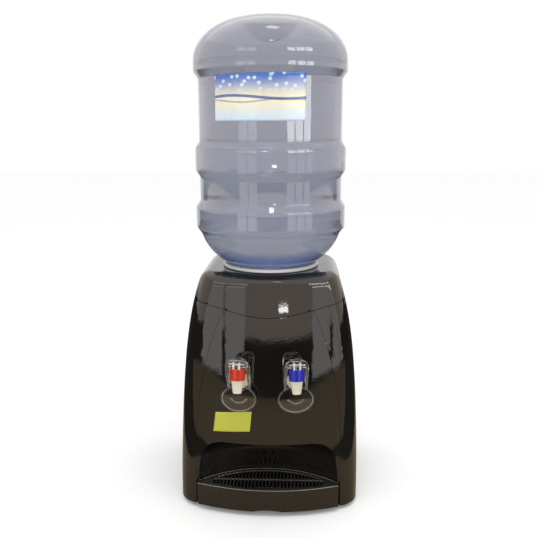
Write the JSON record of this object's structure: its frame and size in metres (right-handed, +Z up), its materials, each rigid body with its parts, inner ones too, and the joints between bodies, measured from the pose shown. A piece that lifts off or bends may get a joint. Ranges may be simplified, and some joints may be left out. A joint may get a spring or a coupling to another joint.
{
  "type": "table-top water dispenser",
  "caption": "Table-top hot and cold water dispenser with an inverted clear bottle, push-lever taps, an alcove, a drip tray and a grille.",
  "frame": {"origin": "on the table under the middle of the whole object's box", "axes": "+Z up, -Y out of the front with the taps, +X to the right seen from the front"},
  "size_m": [0.3236, 0.3204, 0.8611],
  "materials": {
    "gloss_black": "high gloss moulded plastic",
    "satin_black": "satin moulded plastic",
    "collar_white": "smooth moulded plastic",
    "bottle_blue": "clear blue blown polycarbonate",
    "water": "clear liquid",
    "tap_white": "smooth moulded plastic",
    "ring_red": "smooth moulded plastic",
    "ring_blue": "smooth moulded plastic",
    "lever_clear": "clear moulded plastic",
    "tap_nut_plastic": "moulded plastic",
    "rubber_black": "matt rubber",
    "silicone": "translucent silicone",
    "steel": "brushed stainless steel",
    "aluminium": "extruded",
    "module_white": "fired plates",
    "foam": "moulded foam",
    "board_green": "coated board",
    "rocker_red": "moulded plastic",
    "rocker_green": "moulded plastic"
  },
  "bodies": {
    "housing": {"base_pan": "satin_black", "rubber_feet": "rubber_black", "left_side_panel": "gloss_black", "right_side_panel": "gloss_black", "front_panel": "gloss_black", "rear_panel": "satin_black", "top_cover": "gloss_black", "alcove_liner": "satin_black", "case_screws": "steel", "bottle_collar": "collar_white", "collar_seal": "rubber_black", "feed_probe": "collar_white", "cold_tank": "steel", "cold_tank_insulation": "foam", "cold_tank_lid": "foam", "cold_tank_baffle": "steel", "tank_bracket": "steel", "cold_block": "aluminium", "peltier_module": "module_white", "heat_sink": "aluminium", "fan_frame": "satin_black", "hot_tank": "steel", "hot_tank_jacket": "foam", "heater_band": "steel", "hot_thermostats": "steel", "hot_feed_hose": "silicone", "hot_outlet_hose": "silicone", "cold_outlet_hose": "silicone", "drain_hose": "silicone", "drain_plug": "satin_black", "power_supply": "steel", "control_board": "board_green", "mains_inlet": "satin_black", "switch_bezels": "satin_black", "hot_tap_body": "tap_white", "hot_tap_gasket": "rubber_black", "hot_tap_nut": "tap_nut_plastic", "hot_tap_bonnet": "ring_red", "hot_lever_pin": "steel", "hot_valve_spring": "steel", "cold_tap_body": "tap_white", "cold_tap_gasket": "rubber_black", "cold_tap_nut": "tap_nut_plastic", "cold_tap_bonnet": "ring_blue", "cold_lever_pin": "steel", "cold_valve_spring": "steel"},
    "tray": {"drip_tray": "gloss_black"},
    "grille": {"drip_grille": "satin_black"},
    "bottle": {"bottle": "bottle_blue", "bottle_water": "water"},
    "fan_rotor": {"fan_rotor": "satin_black"},
    "heat_switch": {"heat_switch_rocker": "rocker_red"},
    "cool_switch": {"cool_switch_rocker": "rocker_green"},
    "hot_lever": {"hot_tap_lever": "lever_clear"},
    "hot_valve": {"hot_valve_stem": "steel", "hot_valve_seal": "silicone"},
    "cold_lever": {"cold_tap_lever": "lever_clear"},
    "cold_valve": {"cold_valve_stem": "steel", "cold_valve_seal": "silicone"}
  },
  "joints": [
    {"name": "tray_slide", "type": "slide", "parent": "housing", "child": "tray", "axis": [0, -1, 0], "range_m": [0, 0.1]},
    {"name": "grille_lift", "type": "slide", "parent": "tray", "child": "grille", "axis": [0, 0, 1], "range_m": [0, 0.04]},
    {"name": "bottle_lift", "type": "slide", "parent": "housing", "child": "bottle", "axis": [0, 0, 1], "range_m": [0, 0.08]},
    {"name": "fan_spin", "type": "hinge", "parent": "housing", "child": "fan_rotor", "pos_m": [0, 0.1315, 0.29], "axis": [0, 1, 0], "continuous": true},
    {"name": "heat_switch_rock", "type": "hinge", "parent": "housing", "child": "heat_switch", "pos_m": [0.054, 0.15, 0.074], "axis": [1, 0, 0], "range_deg": [-16, 0]},
    {"name": "cool_switch_rock", "type": "hinge", "parent": "housing", "child": "cool_switch", "pos_m": [0.088, 0.15, 0.074], "axis": [1, 0, 0], "range_deg": [-16, 0]},
    {"name": "hot_lever_push", "type": "hinge", "parent": "housing", "child": "hot_lever", "pos_m": [-0.05102, -0.15053, 0.27927], "axis": [0.9913, -0.1314, 0], "range_deg": [0, 9], "stiffness_Nm_per_rad": 0.5, "springref_deg": -1.15},
    {"name": "hot_valve_lift", "type": "slide", "parent": "housing", "child": "hot_valve", "axis": [0.0206, 0.1551, 0.9877], "range_m": [0, 0.0013], "deforming": ["hot_valve_spring"]},
    {"name": "cold_lever_push", "type": "hinge", "parent": "housing", "child": "cold_lever", "pos_m": [0.05102, -0.15053, 0.27927], "axis": [0.9913, 0.1314, 0], "range_deg": [0, 9], "stiffness_Nm_per_rad": 0.5, "springref_deg": -1.15},
    {"name": "cold_valve_lift", "type": "slide", "parent": "housing", "child": "cold_valve", "axis": [-0.0206, 0.1551, 0.9877], "range_m": [0, 0.0013], "deforming": ["cold_valve_spring"]}
  ],
  "couplings": [
    {"joint": "hot_valve_lift", "follows": "hot_lever_push", "m_per_rad": 0.008},
    {"joint": "cold_valve_lift", "follows": "cold_lever_push", "m_per_rad": 0.008}
  ]
}
